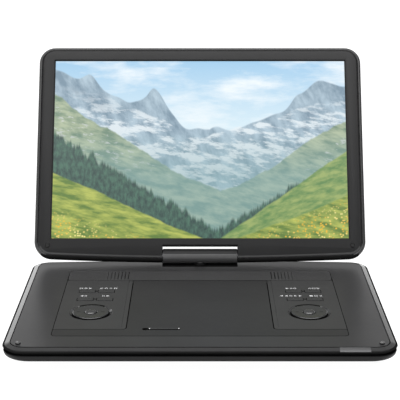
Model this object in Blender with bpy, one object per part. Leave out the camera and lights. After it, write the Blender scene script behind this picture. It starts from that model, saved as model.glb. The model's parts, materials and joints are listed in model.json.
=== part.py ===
"""Portable disc player whose screen tilts and swivels, as an assembly of separate pieces.

Lengths are in millimetres. The base's own frame has x to the right, y to the back and z up from its flat
top. The screen's frame is the screen laid open flat: y runs from the tilt axis to the screen's far edge
and z is its depth, with the display facing +z. Each object is made in metres.
"""

import math

import bmesh
import bpy
from mathutils import Matrix, Vector

METRES = 0.001

# Base: outer shell
BASE_HALF_W = 171.3
BASE_FRONT = -115.8
BASE_BACK = 114.9
BACK_BOW = 5.5
CORNER_R = 23.0
BACK_CORNER_R = 17.2
BEVEL_W = 7.5
TOP_HEIGHT = 24.0
TOP_PLATE = 4.0
PARTING_Z = -5.2
SHOULDER_Z = -5.9
LIP_TOP_Z = -4.4
RIM_INNER = 4.2
LIP_OUTER = 4.55
LIP_INNER = 6.2
FLOOR_Z = -20.0
BELLY_Z = -22.0
FOOT_R = 7.0
BUMPER_X, BUMPER_Y = 156.0, -101.5
FOOT_POSITIONS = {
    "front_left": (-128.0, -62.0),
    "front_right": (128.0, -62.0),
    "rear_left": (-134.0, 84.0),
    "rear_right": (134.0, 84.0),
}

# Base: what lies in the recess of its top
GAP = 0.3
COVER_T = 2.0
RECESS_HALF_W = 130.3
RECESS_FRONT = -85.2
RECESS_BACK = 83.3
PANEL_INNER = 65.6
PANEL_FRONT = -69.4
PANEL_BACK = 55.5
STRIP_FRONT = 56.2
GRILLE_PITCH = 3.5
GRILLE_SLOTS = 17
KEY_COLUMNS = {"inner": 89.7, "outer": 108.0}
KEY_ROWS = {"rear": 25.0, "front": 4.0}
KEY_W, KEY_D, KEY_TOP = 14.9, 7.0, 0.8
PAD_X, PAD_Y, PAD_R = 100.0, -28.5, 16.5
PAD_PIVOT_Z = -3.0
KEY_BOARD_Z = -7.4

# Disc drive
DISC_Y = -13.5
WELL_R = 62.5
WELL_FLOOR_Z = -9.3
TURNTABLE_R = 14.3
LID_HALF_W = 65.0
LID_PIVOT_Y, LID_PIVOT_Z = 53.9, -1.6
ROD_X, ROD_Z = 19.0, -14.5
ROD_FRONT, ROD_BACK = -71.5, -27.3
SCREW_X, SCREW_PITCH = 27.0, 3.0
SLED_Y = -36.0

# Screen and its hinge
AXIS_Y, AXIS_Z = 104.5, 8.6
LEAN_FROM_FLAT = 61.6
SCREEN_HALF_W = 168.8
SCREEN_LOW, SCREEN_HIGH = -2.55, 221.4
SCREEN_BOW = 4.2
SCREEN_CORNER_R = 16.8
SCREEN_HALF_T = 7.0
DISPLAY_HALF_W = 152.0
DISPLAY_LOW, DISPLAY_HIGH = 17.2, 207.2
BARREL_R, BARREL_HALF = 7.0, 37.4
NOTCH_HALF, NOTCH_TOP = 38.3, 11.2
SWIVEL_HOLE_R, POST_R = 6.2, 5.0
SHAFT_R, SHAFT_HALF = 2.5, 50.0

# The middle of the whole player from front to back, with the screen at rest
EDGE_R = 5.0
REACH = (SCREEN_HIGH - EDGE_R) * math.cos(math.radians(LEAN_FROM_FLAT))
REACH += (SCREEN_HALF_T - EDGE_R) * math.sin(math.radians(LEAN_FROM_FLAT)) + EDGE_R
MIDDLE_Y = (BASE_FRONT + AXIS_Y + REACH) / 2

for old in list(bpy.data.objects):
    bpy.data.objects.remove(old)


# ---------------------------------------------------------------- shapes


def outline(
    half_w, front, back, radius, bow=0.0, front_bow=0.0, back_radius=None, steps=6, side_steps=8
):
    """Rounded rectangle seen from above, anticlockwise, whose front and back sides can bow outwards."""
    points = []
    rear = back_radius or radius
    corners = (
        (1, front + radius, radius, -90),
        (1, back - rear, rear, 0),
        (-1, back - rear, rear, 90),
        (-1, front + radius, radius, 180),
    )
    for number, (side, y, r, start) in enumerate(corners):
        x = side * (half_w - r)
        for step in range(steps + 1):
            angle = math.radians(start + 90 * step / steps)
            points.append((x + r * math.cos(angle), y + r * math.sin(angle)))
        if number in (1, 3):
            level = back if number == 1 else front
            points += [(x * (1 - 2 * step / side_steps), level) for step in range(1, side_steps)]
    middle = (front + back) / 2
    return [
        (x, y + (bow if y > middle else -front_bow) * (1 - (x / half_w) ** 2))
        for x, y in points
    ]


def loft(rings, close=False):
    """A closed body through rings of equal length; the ends are capped, or joined when close is set."""
    body = bmesh.new()
    rows = [[body.verts.new(point) for point in ring] for ring in rings]
    pairs = list(zip(rows, rows[1:]))
    if close:
        pairs.append((rows[-1], rows[0]))
    count = len(rows[0])
    for low, high in pairs:
        for i in range(count):
            j = (i + 1) % count
            body.faces.new((low[i], low[j], high[j], high[i]))
    if not close:
        body.faces.new(rows[0][::-1])
        body.faces.new(rows[-1])
    bmesh.ops.recalc_face_normals(body, faces=body.faces)
    return body


def prism(points, low, high, at=(0, 0)):
    return loft([[(at[0] + x, at[1] + y, z) for x, y in points] for z in (low, high)])


def block(x0, x1, y0, y1, z0, z1, chamfer=0.0):
    """A box, whose top edges can be chamfered."""
    x0, x1 = sorted((x0, x1))

    def ring(inset, z):
        return [
            (x0 + inset, y0 + inset, z),
            (x1 - inset, y0 + inset, z),
            (x1 - inset, y1 - inset, z),
            (x0 + inset, y1 - inset, z),
        ]

    rings = [ring(0, z0)]
    if chamfer:
        rings.append(ring(0, z1 - chamfer))
    return loft(rings + [ring(chamfer, z1)])


def turned(profile, x=0.0, y=0.0, steps=24, close=False):
    """A body turned about a vertical axis from its (radius, height) profile."""
    angles = [2 * math.pi * step / steps for step in range(steps)]
    rings = [[(x + r * math.cos(a), y + r * math.sin(a), z) for a in angles] for r, z in profile]
    return loft(rings, close)


def lying(body, direction, at):
    """Turns a body made along +Z so that it runs along direction, then moves it to a point."""
    turn = Vector((0, 0, 1)).rotation_difference(Vector(direction)).to_matrix().to_4x4()
    bmesh.ops.transform(body, matrix=Matrix.Translation(at) @ turn, verts=body.verts)
    return body


def rod(direction, at, radius, length, steps=16):
    """A plain cylinder that starts at a point and runs along direction."""
    return lying(turned([(radius, 0), (radius, length)], steps=steps), direction, at)


# ---------------------------------------------------------------- objects


def look(name, colour, roughness, metallic=0.0):
    material = bpy.data.materials.new(name)
    material.use_nodes = True
    shader = material.node_tree.nodes["Principled BSDF"]
    shader.inputs["Base Color"].default_value = (*colour, 1)
    shader.inputs["Roughness"].default_value = roughness
    shader.inputs["Metallic"].default_value = metallic
    return material


def frame(name, at=(0, 0, 0), parent=None, tilt=0.0):
    """An empty that marks a joint's axis or the origin of an assembly."""
    empty = bpy.data.objects.new(name, None)
    bpy.context.scene.collection.objects.link(empty)
    empty.parent = parent
    empty.location = Vector(at) * METRES
    empty.rotation_euler.x = math.radians(tilt)
    return empty


def mesh_object(name, body):
    mesh = bpy.data.meshes.new(name)
    body.to_mesh(mesh)
    body.free()
    made = bpy.data.objects.new(name, mesh)
    bpy.context.scene.collection.objects.link(made)
    return made


def cut(*bodies):
    return [("DIFFERENCE", body) for body in bodies]


def add(*bodies):
    return [("UNION", body) for body in bodies]


def piece(name, body, steps=(), origin=(0, 0, 0), parent=None, colour=(0.06, 0.06, 0.062),
          roughness=0.5, metallic=0.0, smooth=False):
    """One finished piece. The steps cut bodies from it or add them to it, one after another."""
    made = mesh_object(name, body)
    for operation, other in steps:
        tool = mesh_object("tool", other)
        step = made.modifiers.new("step", "BOOLEAN")
        step.operation = operation
        step.object = tool
        bpy.context.view_layer.update()
        shaped = made.evaluated_get(bpy.context.evaluated_depsgraph_get())
        mesh = bpy.data.meshes.new_from_object(shaped)
        made.modifiers.clear()
        made.data = mesh
        bpy.data.objects.remove(tool)
    made.data.name = name
    made.data.transform(Matrix.Scale(METRES, 4) @ Matrix.Translation(-Vector(origin)))
    made.parent = parent or base
    made.location = Vector(origin) * METRES
    made.data.materials.clear()
    made.data.materials.append(look(name, colour, roughness, metallic))
    if smooth:
        made.data.shade_smooth()


DARK = {"colour": (0.045, 0.045, 0.047), "roughness": 0.45}
BLACK = {"colour": (0.012, 0.012, 0.013), "roughness": 0.4}
RUBBER = {"colour": (0.015, 0.015, 0.015), "roughness": 0.85}
STEEL = {"colour": (0.6, 0.6, 0.62), "roughness": 0.3, "metallic": 1.0}
BOARD = {"colour": (0.02, 0.12, 0.05), "roughness": 0.6}

base = frame("base_frame", (0, -MIDDLE_Y, TOP_HEIGHT))
swivel = frame("swivel_axis", (0, AXIS_Y, 0), base)
tilt = frame("tilt_axis", (0, 0, AXIS_Z), swivel, LEAN_FROM_FLAT)


# ---------------------------------------------------------------- base shell


def base_ring(z, side, front=None, back=None):
    """The base's outline drawn in by side, front and back insets."""
    front = side if front is None else front
    back = side if back is None else back
    drawn_in = min(side, BEVEL_W)
    plan = outline(
        BASE_HALF_W - side,
        BASE_FRONT + front,
        BASE_BACK - back,
        CORNER_R - drawn_in,
        BACK_BOW,
        back_radius=BACK_CORNER_R - drawn_in,
        side_steps=6,
    )
    return [(x, y, z) for x, y in plan]


# A pocket in the top takes the panels, the disc lid and the speaker strip. Its floor is open under them.
recess = outline(RECESS_HALF_W, RECESS_FRONT, RECESS_BACK, 3.0, steps=2, side_steps=1)
top_cuts = [
    prism(recess, -COVER_T - GAP, 1),
    block(-PANEL_INNER, PANEL_INNER, -81.0, 55.9, -5, -2),
    turned([(SWIVEL_HOLE_R, -8), (SWIVEL_HOLE_R, 1)], y=AXIS_Y),
]
for side in (-1, 1):
    top_cuts += [
        block(side * 76, side * 124, -54, 38, -5, -2),
        block(side * 74, side * 126, 59.5, 80, -5, -2),
        turned([(2.4, -1.2), (2.4, 1)], side * BUMPER_X, BUMPER_Y, steps=12),
    ]
lid_lugs = [block(side * 66.0, side * 69.2, 51.9, 55.3, -3.4, -0.1) for side in (-1, 1)]
lid_bores = [rod((1, 0, 0), (x, LID_PIVOT_Y, LID_PIVOT_Z), 0.95, 5, 12) for x in (-70, 65)]
piece(
    "base_top_cover",
    loft(
        [
            base_ring(-TOP_PLATE, RIM_INNER),
            base_ring(PARTING_Z, RIM_INNER),
            base_ring(PARTING_Z, 2.6),
            base_ring(-4.2, 0.6),
            base_ring(-3.5, 0.0),
            base_ring(-2.9, 0.3),
            base_ring(-1.2, 3.3),
            base_ring(0.0, BEVEL_W),
        ]
    ),
    cut(*top_cuts) + add(*lid_lugs) + cut(*lid_bores),
    **DARK,
)

PORT_Z0, PORT_Z1 = -14.6, -8.6
PORT_FACE = 166.4
JACK_Z = -11.6
USB_Y, DC_Y, AV_Y, PHONE_Y, SWITCH_Y = 0.0, -28.0, 22.0, 38.0, -50.0
CARD_Y, WHEEL_Y = -4.0, -40.0
WHEEL_R, WHEEL_X = 10.8, -161.2
bottom_cuts = [
    block(160, 172, USB_Y - 7.5, USB_Y + 7.5, PORT_Z0 - GAP, PORT_Z1 + GAP),
    block(160, 172, DC_Y - 4.8, DC_Y + 4.8, PORT_Z0 - GAP, PORT_Z1 + GAP),
    block(160, 172, SWITCH_Y - 6, SWITCH_Y + 6, -12.7, -9.3),
    rod((1, 0, 0), (160, AV_Y, JACK_Z), 3.4, 12),
    rod((1, 0, 0), (160, PHONE_Y, JACK_Z), 3.4, 12),
    block(-172, -160, CARD_Y - 14.6, CARD_Y + 14.6, -13.6, -9.0),
    block(-172, -160, WHEEL_Y - 10.8, WHEEL_Y + 10.8, -12.7, -9.1),
]
bottom_cuts += [
    turned([(FOOT_R + GAP, BELLY_Z - 1), (FOOT_R + GAP, BELLY_Z + 0.9)], x, y)
    for x, y in FOOT_POSITIONS.values()
]
for x in (-36, -24, -12, 0, 12, 24, 36):
    bottom_cuts.append(block(x - 1.4, x + 1.4, 60, 92, BELLY_Z - 1, FLOOR_Z + 1))
piece(
    "base_bottom_cover",
    loft(
        [
            base_ring(BELLY_Z, 17, 39, 14),
            base_ring(-21, 13, 35, 11),
            base_ring(-16.5, 5.4, 20, 6),
            base_ring(-12, 2.4, 5, 2.8),
            base_ring(-10.6, 1.0),
            base_ring(-7.0, 0.6),
            base_ring(SHOULDER_Z, 1.1),
            base_ring(SHOULDER_Z, LIP_OUTER),
            base_ring(LIP_TOP_Z, LIP_OUTER),
            base_ring(LIP_TOP_Z, LIP_INNER),
            base_ring(-10.2, LIP_INNER),
            base_ring(-12.8, 6.7, 12, 7.0),
            base_ring(-17.5, 9.5, 29, 10),
            base_ring(FLOOR_Z, 16.5, 42, 14),
        ]
    ),
    cut(*bottom_cuts),
    **DARK,
)
for place, (x, y) in FOOT_POSITIONS.items():
    foot = [(FOOT_R - 1.0, -TOP_HEIGHT), (FOOT_R, -TOP_HEIGHT + 0.8), (FOOT_R, BELLY_Z + 0.6)]
    piece(f"foot_{place}", turned(foot, x, y, 16), smooth=True, **RUBBER)
for side, word in ((-1, "left"), (1, "right")):
    bumper = [(2.1, -0.9), (2.1, 0.5), (1.3, 1.4)]
    piece(f"front_bumper_{word}", turned(bumper, side * BUMPER_X, BUMPER_Y, 12), smooth=True, **RUBBER)

# A thin blank badge that follows the roll of the front edge
BADGE_X0, BADGE_X1 = 118.6, 145.0
roll = ((0.9, -2.56), (3.3, -1.2), (6.9, -0.17))
inner = [(BASE_FRONT + inset - 0.25, z + 0.25) for inset, z in roll]
outer = [(BASE_FRONT + inset - 0.6, z + 0.6) for inset, z in roll]
piece(
    "badge_plate",
    loft([[(x, y, z) for y, z in inner + outer[::-1]] for x in (BADGE_X0, BADGE_X1)]),
    colour=(0.4, 0.4, 0.41),
    roughness=0.3,
    metallic=1.0,
)

# ---------------------------------------------------------------- control panels, keys and direction pads

PANEL_ROUND = 3.4


def panel_plan(side):
    """A panel's outline, with a round where the disc lid's fillet passes its inner front corner."""
    outer = RECESS_HALF_W - GAP
    plan = [(outer, PANEL_FRONT), (outer, PANEL_BACK), (PANEL_INNER, PANEL_BACK)]
    for step in range(4):
        angle = math.radians(180 + 30 * step)
        x = PANEL_INNER + PANEL_ROUND * (1 + math.cos(angle))
        plan.append((x, PANEL_FRONT + PANEL_ROUND * (1 + math.sin(angle))))
    return [(side * x, y) for x, y in plan]


for side, word in ((-1, "left"), (1, "right")):
    holes = [block(side * (PANEL_INNER - 1), side * 69.5, 51.5, 57, -3, 1)]
    near, far = KEY_COLUMNS["inner"] - KEY_W / 2 - GAP, KEY_COLUMNS["outer"] + KEY_W / 2 + GAP
    for y in KEY_ROWS.values():
        holes.append(block(side * near, side * far, y - KEY_D / 2 - GAP, y + KEY_D / 2 + GAP, -3, 1))
    holes.append(turned([(PAD_R + 0.5, -3), (PAD_R + 0.5, 1)], side * PAD_X, PAD_Y, steps=32))
    piece(
        f"{word}_control_panel",
        prism(panel_plan(side), -COVER_T, 0),
        cut(*holes),
        **DARK,
    )
    snap = [(2.4, KEY_BOARD_Z - 0.5), (2.4, KEY_BOARD_Z + 0.3), (1.4, KEY_BOARD_Z + 0.8)]
    domes = [turned(snap, side * x, y, 8) for x in KEY_COLUMNS.values() for y in KEY_ROWS.values()]
    for x, y in ((0, 0), (13, 0), (-13, 0), (0, 13), (0, -13)):
        dome = [(2.0, KEY_BOARD_Z - 0.5), (1.4, KEY_BOARD_Z + 0.7)]
        domes.append(turned(dome, side * PAD_X + x, PAD_Y + y, 8))
    piece(
        f"{word}_key_board",
        block(side * 78, side * 122, -50, 34, KEY_BOARD_Z - 1.6, KEY_BOARD_Z),
        add(*domes),
        **BOARD,
    )
    for column, x in KEY_COLUMNS.items():
        for row, y in KEY_ROWS.items():
            x_mid = side * x
            half_w, half_d = KEY_W / 2, KEY_D / 2
            cap = block(x_mid - half_w, x_mid + half_w, y - half_d, y + half_d, -4.5, KEY_TOP, 0.6)
            flange = block(x_mid - 8.5, x_mid + 8.5, y - 4.3, y + 4.3, -4.6, -3.3)
            stem = turned([(1.2, -5.5), (1.2, -4.0)], x_mid, y, 8)
            piece(
                f"{word}_key_{row}_{column}",
                cap,
                add(flange, stem),
                origin=(x_mid, y, 0),
                **BLACK,
            )
    middle = (side * PAD_X, PAD_Y, PAD_PIVOT_Z)
    ring = [
        (6.4, -4.6), (18.4, -4.6), (18.4, -3.6), (PAD_R, -3.6), (PAD_R, 0.6), (PAD_R - 0.9, 1.3),
        (PAD_R - 2.6, 1.3), (9.0, 0.35), (6.6, 0.35), (5.9, -0.2), (5.9, -3.4), (6.4, -3.9),
    ]
    piece(f"{word}_pad_ring", turned(ring, *middle[:2], 24, True), origin=middle, smooth=True, **BLACK)
    carrier = [(7.0, -5.9), (11.0, -5.9), (11.0, -5.3), (7.0, -5.3)]
    piece(f"{word}_pad_carrier", turned(carrier, *middle[:2], 16, True), origin=middle, **BLACK)
    button = [(1.5, -5.7), (1.5, -4.6), (5.4, -4.6), (5.4, 0.3), (4.8, 0.9)]
    piece(f"{word}_pad_centre", turned(button, *middle[:2], 16), origin=middle, smooth=True, **BLACK)

slots = []
for side in (-1, 1):
    for number in range(GRILLE_SLOTS):
        x = side * (70.2 + GRILLE_PITCH * number)
        slots.append(block(x - 0.8, x + 0.8, 59.6, 79.6, -3, 1))
strip = outline(RECESS_HALF_W - GAP, STRIP_FRONT, RECESS_BACK - GAP, 2.6, steps=2, side_steps=1)
piece("rear_speaker_strip", prism(strip, -COVER_T, 0), cut(*slots), **DARK)

# ---------------------------------------------------------------- speakers, boards, battery and ports


def speaker_ring(half_w, half_d, z, x, y):
    plan = outline(half_w, -half_d, half_d, min(half_w, half_d) - 0.2, steps=4, side_steps=1)
    return [(x + px, y + py, z) for px, py in plan]


for side, word in ((-1, "left"), (1, "right")):
    basket = ((7.5, 7.5, -13.5), (7.5, 7.5, -10.5), (17, 7.8, -9.5), (22, 9.0, -5.8))
    rim = ((24, 9.8, -5.8), (24, 9.8, -4.4))
    cone = ((21, 8.4, -4.4), (9, 4.0, -6.4))
    rings = [speaker_ring(w, d, z, side * 100, 69.7) for w, d, z in basket + rim + cone]
    piece(f"{word}_speaker", loft(rings), **BLACK)

piece(
    "main_board",
    block(70, 146, -60, 50, -17, -15.4),
    add(
        block(92, 112, -8, 12, -15.6, -13.6),
        block(80, 90, -40, -26, -15.6, -14.0),
        block(120, 140, 20, 34, -15.6, -12.5),
        turned([(4, -15.6), (4, -11)], 84, 34, 12),
    ),
    **BOARD,
)
piece("battery_pack", block(-146, -70, -58, 48, -19.4, -9.6, 1.0), colour=(0.05, 0.07, 0.1))
piece(
    "usb_port",
    block(152, PORT_FACE, USB_Y - 7.2, USB_Y + 7.2, PORT_Z0, PORT_Z1),
    cut(block(153.5, 168, USB_Y - 6.2, USB_Y + 6.2, PORT_Z0 + 0.5, PORT_Z1 - 0.5))
    + add(block(153, 165, USB_Y - 5.6, USB_Y + 5.6, -10.9, -9.2)),
    **STEEL,
)
piece(
    "dc_jack",
    block(153, PORT_FACE, DC_Y - 4.5, DC_Y + 4.5, PORT_Z0, PORT_Z1),
    cut(rod((1, 0, 0), (155, DC_Y, JACK_Z), 2.7, 12)) + add(rod((1, 0, 0), (154, DC_Y, JACK_Z), 0.85, 11, 8)),
    **BLACK,
)
for name, y in (("av_jack", AV_Y), ("headphone_jack", PHONE_Y)):
    piece(
        name,
        rod((1, 0, 0), (152, y, JACK_Z), 3.1, PORT_FACE - 152),
        cut(rod((1, 0, 0), (154, y, JACK_Z), 1.8, 14, 12)),
        **BLACK,
    )
piece(
    "card_slot",
    block(-PORT_FACE, -147.5, CARD_Y - 14.2, CARD_Y + 14.2, -13.2, -9.4),
    cut(block(-168, -149, CARD_Y - 12.3, CARD_Y + 12.3, -12.5, -10.1)),
    **BLACK,
)
piece(
    "power_switch",
    block(162.4, 171.4, SWITCH_Y - 5.6, SWITCH_Y - 0.2, -12.3, -9.7),
    add(block(160.8, 163.2, SWITCH_Y - 7, SWITCH_Y + 7, -14, -8)),
    origin=(166, SWITCH_Y, -11),
    **BLACK,
)
wheel = [
    (1.2, -12.2), (WHEEL_R - 0.5, -12.2), (WHEEL_R, -11.7), (WHEEL_R, -10.1), (WHEEL_R - 0.5, -9.6),
    (1.2, -9.6),
]
piece(
    "volume_wheel",
    turned(wheel, WHEEL_X, WHEEL_Y, close=True),
    origin=(WHEEL_X, WHEEL_Y, -10.9),
    **BLACK,
)

# ---------------------------------------------------------------- disc drive


def below_corners():
    """The hollow under the disc deck's corners, outside the wall of its well."""
    hollow = mesh_object("hollow", block(-63.4, 63.4, -78.8, 50.2, -12, -4.4))
    step = hollow.modifiers.new("step", "BOOLEAN")
    step.operation = "DIFFERENCE"
    wall = mesh_object("wall", turned([(WELL_R + 1.8, -13), (WELL_R + 1.8, -3)], y=DISC_Y, steps=48))
    step.object = wall
    bpy.context.view_layer.update()
    body = bmesh.new()
    body.from_object(hollow, bpy.context.evaluated_depsgraph_get())
    bpy.data.objects.remove(hollow)
    bpy.data.objects.remove(wall)
    return body


piece(
    "disc_deck",
    block(-65.2, 65.2, -80.6, 52.0, -11, -2.7),
    cut(
        turned([(WELL_R, WELL_FLOOR_Z), (WELL_R, 0)], y=DISC_Y, steps=48),
        turned([(15.5, -13), (15.5, 0)], y=DISC_Y),
        block(-7, 7, -71, -28, -13, 0),
        below_corners(),
        block(-55, -43.8, -72, -66, -13, 0),
    ),
    **DARK,
)
piece(
    "drive_frame",
    block(-34, 34, -73.5, 6, -19.5, -18.2),
    add(
        block(-34, 34, -73.5, -71.8, -18.4, -12.0),
        block(-34, -15, -27.0, -25.0, -18.4, -12.0),
        block(15, 34, -27.0, -25.0, -18.4, -12.0),
    ),
    **STEEL,
)
motor = [(1.6, -11.6), (11.2, -11.6), (12.0, -12.4), (12.0, -17.9), (1.6, -17.9)]
piece("spindle_motor", turned(motor, 0, DISC_Y, close=True), smooth=True, **STEEL)
hub = [
    (1.2, -17.4), (1.2, -10.8), (11.0, -10.8), (11.0, -8.8), (TURNTABLE_R, -8.6), (TURNTABLE_R, -6.6),
    (7.4, -6.6), (7.4, -5.0), (6.2, -4.2),
]
piece("spindle_hub", turned(hub, 0, DISC_Y), origin=(0, DISC_Y, -11), smooth=True, **BLACK)
for word, x in (("left", -ROD_X), ("right", ROD_X)):
    piece(f"guide_rod_{word}", rod((0, 1, 0), (x, ROD_FRONT, ROD_Z), 1.5, ROD_BACK - ROD_FRONT, 12), **STEEL)
thread = []
for turn in range(int((ROD_BACK - ROD_FRONT) / SCREW_PITCH)):
    thread += [(1.7, SCREW_PITCH * turn), (1.3, SCREW_PITCH * (turn + 0.5))]
piece(
    "lead_screw",
    lying(turned(thread, steps=8), (0, 1, 0), (SCREW_X, ROD_FRONT, ROD_Z)),
    origin=(SCREW_X, ROD_FRONT, ROD_Z),
    **STEEL,
)
piece(
    "pickup_sled",
    block(-23, 23, SLED_Y - 7, SLED_Y + 7, -17, -12),
    add(
        block(-6, 6, SLED_Y - 6, SLED_Y + 6, -12.5, -10.4),
        turned([(3.6, -11), (3.6, -9.9)], 0, SLED_Y, 16),
        block(22, 25, SLED_Y - 2, SLED_Y + 2, -16, -13),
    )
    + cut(*(rod((0, 1, 0), (x, SLED_Y - 8, ROD_Z), 1.9, 16, 12) for x in (-ROD_X, ROD_X))),
    origin=(0, SLED_Y, ROD_Z),
    **BLACK,
)

# ---------------------------------------------------------------- disc lid and its release

WING_BACK = -69.7
LID_FRONT = RECESS_FRONT + GAP
WING_X = RECESS_HALF_W - GAP
FILLET = 4.0


def lid_plan():
    """Inverted T: a square over the disc, with a strip along its front that reaches out to both sides."""
    quarter = [math.radians(30 * step) for step in range(4)]
    half = [(WING_X - 2.7 + 2.7 * math.sin(a), LID_FRONT + 2.7 - 2.7 * math.cos(a)) for a in quarter]
    half += [(WING_X - 1 + math.cos(a), WING_BACK - 1 + math.sin(a)) for a in quarter]
    half += [
        (LID_HALF_W + FILLET - FILLET * math.sin(a), WING_BACK + FILLET - FILLET * math.cos(a))
        for a in quarter
    ]
    half.append((LID_HALF_W, LID_PIVOT_Y + 0.3))
    return half + [(-x, y) for x, y in half[::-1]]


bead = rod((1, 0, 0), (-LID_HALF_W, LID_PIVOT_Y, LID_PIVOT_Z), 1.45, 2 * LID_HALF_W, 16)
pins = rod((1, 0, 0), (-68.9, LID_PIVOT_Y, LID_PIVOT_Z), 0.75, 137.8, 12)
clamp_ring = turned([(10.5, -3.3), (13.0, -3.3), (13.0, -1.5), (10.5, -1.5)], 0, DISC_Y, close=True)
lid_axis = (0, LID_PIVOT_Y, LID_PIVOT_Z)
piece(
    "disc_lid",
    prism(lid_plan(), -COVER_T, 0),
    add(bead, pins, clamp_ring)
    + cut(
        block(-53.5, -15.0, -73.4, -64.6, -3, -1.0),
        prism(outline(16.75, -2.0, 2.0, 1.9, steps=4, side_steps=1), -3, 1, (-34.25, -69.0)),
    ),
    origin=lid_axis,
    **DARK,
)
piece(
    "lid_release_slider",
    block(-44.5, -18.9, -70.6, -67.4, -1.8, 0.4, 0.4),
    add(
        block(-46.4, -17.0, -72.6, -65.4, -2.1, -1.35),
        block(-46.4, -44.4, -71.0, -67.5, -4.4, -1.6),
    ),
    origin=(-31.3, -69.0, -1.0),
    **BLACK,
)

# ---------------------------------------------------------------- screen and hinge

BEARING_R = 6.3
post = [
    (5.6, -14.2), (5.6, -12.9), (POST_R, -12.9), (POST_R, 0.4), (6.6, 0.5), (6.0, 1.8), (6.0, 5.0),
]
piece(
    "hinge_barrel",
    rod((1, 0, 0), (-BARREL_HALF, 0, AXIS_Z), BARREL_R, 2 * BARREL_HALF, 32),
    add(turned(post)) + cut(rod((1, 0, 0), (-BARREL_HALF - 2, 0, AXIS_Z), SHAFT_R + 0.4, 2 * BARREL_HALF + 4)),
    parent=swivel,
    **DARK,
)
piece("tilt_shaft", rod((1, 0, 0), (-SHAFT_HALF, 0, 0), SHAFT_R, 2 * SHAFT_HALF), parent=tilt, **STEEL)
bearing = [(POST_R + GAP, -12.5), (BEARING_R, -12.5), (BEARING_R, -4.3), (POST_R + GAP, -4.3)]
piece("swivel_bearing", turned(bearing, 0, AXIS_Y, 16, True), **STEEL)


def screen_ring(inset, z):
    """The screen's outline drawn in by an inset, at a depth."""
    plan = outline(
        SCREEN_HALF_W - inset,
        SCREEN_LOW + inset,
        SCREEN_HIGH - inset,
        SCREEN_CORNER_R - inset,
        front_bow=SCREEN_BOW,
        side_steps=6,
    )
    return [(x, y, z) for x, y in plan]


hinge_notch = (-NOTCH_HALF, NOTCH_HALF, -7, NOTCH_TOP, -9, 9)
NOTCH_WALL = 2.3
hood = NOTCH_HALF + NOTCH_WALL
piece(
    "screen_back_cover",
    loft(
        [
            screen_ring(6.0, -5.0),
            screen_ring(3.4, -3.0),
            screen_ring(3.4, 6.1),
            screen_ring(2.4, 6.5),
            screen_ring(1.2, 6.0),
            screen_ring(0.0, 4.0),
            screen_ring(0.0, -2.0),
            screen_ring(0.6, -4.6),
            screen_ring(2.4, -6.3),
            screen_ring(5.0, -SCREEN_HALF_T),
        ]
    ),
    add(block(-hood, hood, -1.0, NOTCH_TOP + NOTCH_WALL, -5.6, 4.2))
    + cut(
        block(*hinge_notch),
        *(block(side * 41, side * 51.5, -3.0, 1.0, -4.4, 3.4) for side in (-1, 1)),
        *(rod((1, 0, 0), (x, 0, 0), SHAFT_R + 0.4, 4) for x in (-42, 38)),
    ),
    parent=tilt,
    **DARK,
)
piece(
    "screen_bezel",
    loft([screen_ring(3.75, 4.6), screen_ring(3.75, 6.2), screen_ring(4.15, 6.6)]),
    cut(
        block(
            -DISPLAY_HALF_W - 0.4, DISPLAY_HALF_W + 0.4, DISPLAY_LOW - 0.4, DISPLAY_HIGH + 0.4, 4, 7
        ),
        block(*hinge_notch),
        *(turned([(2.3, 4), (2.3, 7)], side * 155, 9.7, 12) for side in (-1, 1)),
    ),
    parent=tilt,
    **BLACK,
)
piece(
    "lcd_panel",
    block(-154.5, 154.5, 14.6, 209.8, 0.9, 4.3),
    parent=tilt,
    colour=(0.02, 0.02, 0.025),
    roughness=0.15,
)
piece(
    "display_board",
    block(-120, -50, 20, 80, -3.8, -2.2),
    add(block(-110, -90, 30, 50, -2.4, -0.6), block(-80, -60, 60, 70, -2.4, 0.2)),
    parent=tilt,
    **BOARD,
)
for side, word in ((-1, "left"), (1, "right")):
    piece(
        f"screen_bumper_{word}",
        turned([(2.0, 5.0), (2.0, 7.0), (1.4, 7.4)], side * 155, 9.7, 12),
        parent=tilt,
        smooth=True,
        **RUBBER,
    )
    piece(
        f"hinge_bracket_{word}",
        block(side * 41.4, side * 49, -2.7, 6, -4.0, 2.9),
        add(block(side * 42, side * 48, 4, 32, -4.0, -1.6))
        + cut(rod((1, 0, 0), (side * 45 - 6, 0, 0), SHAFT_R + 0.05, 12)),
        parent=tilt,
        **STEEL,
    )
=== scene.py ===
"""Looks of a portable disc player: a base with a lidded disc bay and a wide screen that tilts and swivels.

Shapes are made in millimetres. The base's frame has z up from its flat top, and the screen's frame is the
screen laid open flat, with y from the tilt axis to the far edge and the display facing +z.
"""

import json
import math

import bmesh
import bpy
from mathutils import Matrix, Vector


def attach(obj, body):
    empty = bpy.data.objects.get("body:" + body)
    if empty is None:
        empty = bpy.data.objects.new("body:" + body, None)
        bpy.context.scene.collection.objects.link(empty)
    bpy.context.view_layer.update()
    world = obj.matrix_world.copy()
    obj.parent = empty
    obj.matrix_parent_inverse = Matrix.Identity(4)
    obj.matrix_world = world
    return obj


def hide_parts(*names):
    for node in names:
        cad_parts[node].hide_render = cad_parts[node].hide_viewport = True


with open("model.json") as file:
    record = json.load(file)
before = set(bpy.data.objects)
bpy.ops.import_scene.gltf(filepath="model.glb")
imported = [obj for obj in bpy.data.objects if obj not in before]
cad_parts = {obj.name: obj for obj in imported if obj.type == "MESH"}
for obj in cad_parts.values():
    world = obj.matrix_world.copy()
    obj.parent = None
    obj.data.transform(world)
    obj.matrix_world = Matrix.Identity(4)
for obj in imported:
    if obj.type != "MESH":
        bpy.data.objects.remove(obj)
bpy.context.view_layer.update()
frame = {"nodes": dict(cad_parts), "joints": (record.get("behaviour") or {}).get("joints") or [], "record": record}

MM = 0.001
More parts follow.
